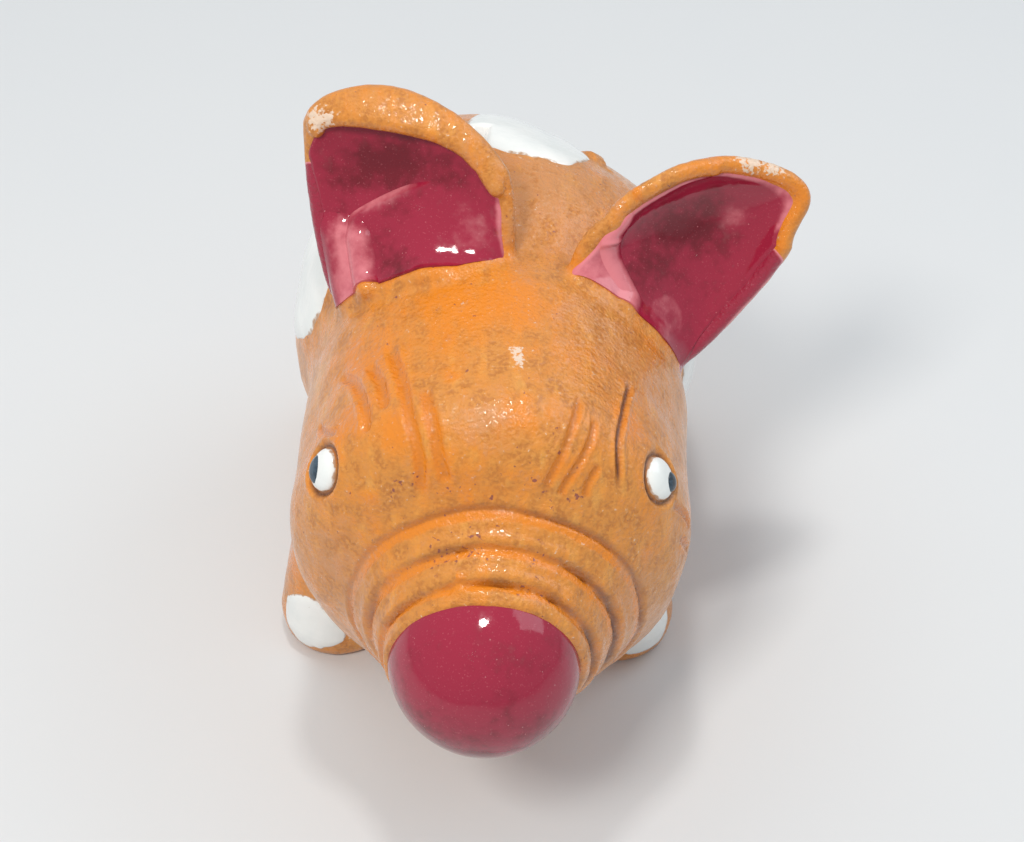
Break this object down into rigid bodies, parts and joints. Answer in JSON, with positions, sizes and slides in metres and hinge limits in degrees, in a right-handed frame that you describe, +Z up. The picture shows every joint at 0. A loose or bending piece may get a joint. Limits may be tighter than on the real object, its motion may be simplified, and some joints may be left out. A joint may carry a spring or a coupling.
{
  "type": "piggy bank",
  "caption": "Hand-built earthenware pig money box: hollow belly with a coin slot in the back and a pull-out rubber bung underneath.",
  "frame": {"origin": "middle of the bottom of the whole pig's box, on the plane that its feet stand on", "axes": "the pig looks along -Y, +X is the pig's left, +Z is up"},
  "size_m": [0.0976, 0.1465, 0.1111],
  "materials": {
    "clay": "satin orange earthenware",
    "maroon_glaze": "glossy",
    "white_glaze": "glossy",
    "slate_glaze": "glossy",
    "rubber": "matte"
  },
  "bodies": {
    "pig": {"body_front_bowl": "clay", "body_rear_bowl": "clay", "head_barrel": "clay", "head_face": "clay", "snout": "clay", "nose_pad": "maroon_glaze", "ear_left": "clay", "ear_right": "clay", "ear_left_glaze": "maroon_glaze", "ear_right_glaze": "maroon_glaze", "eye_left": "white_glaze", "eye_right": "white_glaze", "pupil_left": "slate_glaze", "pupil_right": "slate_glaze", "leg_front_left": "clay", "leg_front_right": "clay", "leg_rear_left": "clay", "leg_rear_right": "clay", "tail": "clay", "back_glaze": "white_glaze", "flank_left_glaze": "white_glaze", "flank_right_glaze": "white_glaze", "foot_left_glaze": "white_glaze", "foot_right_glaze": "white_glaze"},
    "stopper": {"belly_stopper": "rubber"}
  },
  "joints": [
    {"name": "stopper_pull", "type": "slide", "parent": "pig", "child": "stopper", "axis": [0, 0, -1], "range_m": [0, 0.0085]}
  ]
}
